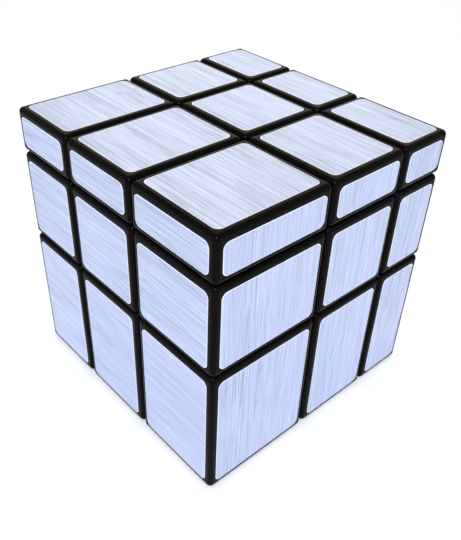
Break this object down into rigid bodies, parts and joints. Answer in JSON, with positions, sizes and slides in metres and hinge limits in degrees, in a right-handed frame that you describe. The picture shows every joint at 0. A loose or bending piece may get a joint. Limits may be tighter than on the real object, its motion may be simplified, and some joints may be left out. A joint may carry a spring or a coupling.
{
  "type": "twisty puzzle cube",
  "caption": "Cubic twisting puzzle with unequal layers, black plastic blocks faced with brushed silver foil, turning on a sprung six-armed core.",
  "frame": {"origin": "middle of the bottom face, on the surface the cube stands on", "axes": "+X to the right layer, +Y to the back layer, +Z to the top layer"},
  "size_m": [0.057, 0.057, 0.057],
  "materials": {
    "black_plastic": "smooth moulded ABS, semi-gloss black",
    "inner_plastic": "plain moulded ABS, satin black, lightly greased",
    "core_plastic": "plain moulded nylon, grey",
    "steel": "zinc-plated steel",
    "foil": "brushed silver foil sticker"
  },
  "bodies": {
    "core": {"core_spider": "core_plastic", "centre_screws": "steel", "spring_washers": "steel", "tension_springs": "steel"},
    "centre_up": {"centre_up_base": "inner_plastic", "centre_up_cap": "black_plastic"},
    "centre_down": {"centre_down_base": "inner_plastic", "centre_down_cap": "black_plastic"},
    "centre_front": {"centre_front_base": "inner_plastic", "centre_front_cap": "black_plastic"},
    "centre_back": {"centre_back_base": "inner_plastic", "centre_back_cap": "black_plastic"},
    "centre_right": {"centre_right_base": "inner_plastic", "centre_right_cap": "black_plastic"},
    "centre_left": {"centre_left_base": "inner_plastic", "centre_left_cap": "black_plastic"},
    "edge_up_front": {"edge_up_front_shell": "black_plastic", "edge_up_front_foot": "inner_plastic"},
    "edge_up_back": {"edge_up_back_shell": "black_plastic", "edge_up_back_foot": "inner_plastic"},
    "edge_up_right": {"edge_up_right_shell": "black_plastic", "edge_up_right_foot": "inner_plastic"},
    "edge_up_left": {"edge_up_left_shell": "black_plastic", "edge_up_left_foot": "inner_plastic"},
    "edge_down_front": {"edge_down_front_shell": "black_plastic", "edge_down_front_foot": "inner_plastic"},
    "edge_down_back": {"edge_down_back_shell": "black_plastic", "edge_down_back_foot": "inner_plastic"},
    "edge_down_right": {"edge_down_right_shell": "black_plastic", "edge_down_right_foot": "inner_plastic"},
    "edge_down_left": {"edge_down_left_shell": "black_plastic", "edge_down_left_foot": "inner_plastic"},
    "edge_front_right": {"edge_front_right_shell": "black_plastic", "edge_front_right_foot": "inner_plastic"},
    "edge_front_left": {"edge_front_left_shell": "black_plastic", "edge_front_left_foot": "inner_plastic"},
    "edge_back_right": {"edge_back_right_shell": "black_plastic", "edge_back_right_foot": "inner_plastic"},
    "edge_back_left": {"edge_back_left_shell": "black_plastic", "edge_back_left_foot": "inner_plastic"},
    "corner_up_front_right": {"corner_up_front_right_shell": "black_plastic", "corner_up_front_right_foot": "inner_plastic"},
    "corner_up_front_left": {"corner_up_front_left_shell": "black_plastic", "corner_up_front_left_foot": "inner_plastic"},
    "corner_up_back_right": {"corner_up_back_right_shell": "black_plastic", "corner_up_back_right_foot": "inner_plastic"},
    "corner_up_back_left": {"corner_up_back_left_shell": "black_plastic", "corner_up_back_left_foot": "inner_plastic"},
    "corner_down_front_right": {"corner_down_front_right_shell": "black_plastic", "corner_down_front_right_foot": "inner_plastic"},
    "corner_down_front_left": {"corner_down_front_left_shell": "black_plastic", "corner_down_front_left_foot": "inner_plastic"},
    "corner_down_back_right": {"corner_down_back_right_shell": "black_plastic", "corner_down_back_right_foot": "inner_plastic"},
    "corner_down_back_left": {"corner_down_back_left_shell": "black_plastic", "corner_down_back_left_foot": "inner_plastic"}
  },
  "joints": [
    {"name": "turn_up", "type": "hinge", "parent": "core", "child": "centre_up", "pos_m": [-0.002, 0.006, 0.0385], "axis": [0, 0, 1], "continuous": true},
    {"name": "turn_down", "type": "hinge", "parent": "core", "child": "centre_down", "pos_m": [-0.002, 0.006, 0.0385], "axis": [0, 0, 1], "continuous": true},
    {"name": "turn_front", "type": "hinge", "parent": "core", "child": "centre_front", "pos_m": [-0.002, 0.006, 0.0385], "axis": [0, 1, 0], "continuous": true},
    {"name": "turn_back", "type": "hinge", "parent": "core", "child": "centre_back", "pos_m": [-0.002, 0.006, 0.0385], "axis": [0, 1, 0], "continuous": true},
    {"name": "turn_right", "type": "hinge", "parent": "core", "child": "centre_right", "pos_m": [-0.002, 0.006, 0.0385], "axis": [1, 0, 0], "continuous": true},
    {"name": "turn_left", "type": "hinge", "parent": "core", "child": "centre_left", "pos_m": [-0.002, 0.006, 0.0385], "axis": [1, 0, 0], "continuous": true},
    {"name": "edge_up_front_turn_up", "type": "hinge", "parent": "centre_front", "child": "edge_up_front", "pos_m": [-0.002, 0.006, 0.0385], "axis": [0, 0, 1], "continuous": true},
    {"name": "edge_up_back_turn_up", "type": "hinge", "parent": "centre_back", "child": "edge_up_back", "pos_m": [-0.002, 0.006, 0.0385], "axis": [0, 0, 1], "continuous": true},
    {"name": "edge_up_right_turn_right", "type": "hinge", "parent": "centre_up", "child": "edge_up_right", "pos_m": [-0.002, 0.006, 0.0385], "axis": [1, 0, 0], "continuous": true},
    {"name": "edge_up_left_turn_left", "type": "hinge", "parent": "centre_up", "child": "edge_up_left", "pos_m": [-0.002, 0.006, 0.0385], "axis": [1, 0, 0], "continuous": true},
    {"name": "edge_down_front_turn_down", "type": "hinge", "parent": "centre_front", "child": "edge_down_front", "pos_m": [-0.002, 0.006, 0.0385], "axis": [0, 0, 1], "continuous": true},
    {"name": "edge_down_back_turn_down", "type": "hinge", "parent": "centre_back", "child": "edge_down_back", "pos_m": [-0.002, 0.006, 0.0385], "axis": [0, 0, 1], "continuous": true},
    {"name": "edge_down_right_turn_right", "type": "hinge", "parent": "centre_down", "child": "edge_down_right", "pos_m": [-0.002, 0.006, 0.0385], "axis": [1, 0, 0], "continuous": true},
    {"name": "edge_down_left_turn_left", "type": "hinge", "parent": "centre_down", "child": "edge_down_left", "pos_m": [-0.002, 0.006, 0.0385], "axis": [1, 0, 0], "continuous": true},
    {"name": "edge_front_right_turn_front", "type": "hinge", "parent": "centre_right", "child": "edge_front_right", "pos_m": [-0.002, 0.006, 0.0385], "axis": [0, 1, 0], "continuous": true},
    {"name": "edge_front_left_turn_front", "type": "hinge", "parent": "centre_left", "child": "edge_front_left", "pos_m": [-0.002, 0.006, 0.0385], "axis": [0, 1, 0], "continuous": true},
    {"name": "edge_back_right_turn_back", "type": "hinge", "parent": "centre_right", "child": "edge_back_right", "pos_m": [-0.002, 0.006, 0.0385], "axis": [0, 1, 0], "continuous": true},
    {"name": "edge_back_left_turn_back", "type": "hinge", "parent": "centre_left", "child": "edge_back_left", "pos_m": [-0.002, 0.006, 0.0385], "axis": [0, 1, 0], "continuous": true},
    {"name": "corner_up_front_right_turn_up", "type": "hinge", "parent": "edge_front_right", "child": "corner_up_front_right", "pos_m": [-0.002, 0.006, 0.0385], "axis": [0, 0, 1], "continuous": true},
    {"name": "corner_up_front_left_turn_up", "type": "hinge", "parent": "edge_front_left", "child": "corner_up_front_left", "pos_m": [-0.002, 0.006, 0.0385], "axis": [0, 0, 1], "continuous": true},
    {"name": "corner_up_back_right_turn_up", "type": "hinge", "parent": "edge_back_right", "child": "corner_up_back_right", "pos_m": [-0.002, 0.006, 0.0385], "axis": [0, 0, 1], "continuous": true},
    {"name": "corner_up_back_left_turn_up", "type": "hinge", "parent": "edge_back_left", "child": "corner_up_back_left", "pos_m": [-0.002, 0.006, 0.0385], "axis": [0, 0, 1], "continuous": true},
    {"name": "corner_down_front_right_turn_down", "type": "hinge", "parent": "edge_front_right", "child": "corner_down_front_right", "pos_m": [-0.002, 0.006, 0.0385], "axis": [0, 0, 1], "continuous": true},
    {"name": "corner_down_front_left_turn_down", "type": "hinge", "parent": "edge_front_left", "child": "corner_down_front_left", "pos_m": [-0.002, 0.006, 0.0385], "axis": [0, 0, 1], "continuous": true},
    {"name": "corner_down_back_right_turn_down", "type": "hinge", "parent": "edge_back_right", "child": "corner_down_back_right", "pos_m": [-0.002, 0.006, 0.0385], "axis": [0, 0, 1], "continuous": true},
    {"name": "corner_down_back_left_turn_down", "type": "hinge", "parent": "edge_back_left", "child": "corner_down_back_left", "pos_m": [-0.002, 0.006, 0.0385], "axis": [0, 0, 1], "continuous": true}
  ],
  "couplings": [
    {"joint": "edge_up_front_turn_up", "follows": "turn_up", "ratio": 1},
    {"joint": "edge_up_back_turn_up", "follows": "turn_up", "ratio": 1},
    {"joint": "edge_up_right_turn_right", "follows": "turn_right", "ratio": 1},
    {"joint": "edge_up_left_turn_left", "follows": "turn_left", "ratio": 1},
    {"joint": "edge_down_front_turn_down", "follows": "turn_down", "ratio": 1},
    {"joint": "edge_down_back_turn_down", "follows": "turn_down", "ratio": 1},
    {"joint": "edge_down_right_turn_right", "follows": "turn_right", "ratio": 1},
    {"joint": "edge_down_left_turn_left", "follows": "turn_left", "ratio": 1},
    {"joint": "edge_front_right_turn_front", "follows": "turn_front", "ratio": 1},
    {"joint": "edge_front_left_turn_front", "follows": "turn_front", "ratio": 1},
    {"joint": "edge_back_right_turn_back", "follows": "turn_back", "ratio": 1},
    {"joint": "edge_back_left_turn_back", "follows": "turn_back", "ratio": 1},
    {"joint": "corner_up_front_right_turn_up", "follows": "turn_up", "ratio": 1},
    {"joint": "corner_up_front_left_turn_up", "follows": "turn_up", "ratio": 1},
    {"joint": "corner_up_back_right_turn_up", "follows": "turn_up", "ratio": 1},
    {"joint": "corner_up_back_left_turn_up", "follows": "turn_up", "ratio": 1},
    {"joint": "corner_down_front_right_turn_down", "follows": "turn_down", "ratio": 1},
    {"joint": "corner_down_front_left_turn_down", "follows": "turn_down", "ratio": 1},
    {"joint": "corner_down_back_right_turn_down", "follows": "turn_down", "ratio": 1},
    {"joint": "corner_down_back_left_turn_down", "follows": "turn_down", "ratio": 1}
  ]
}
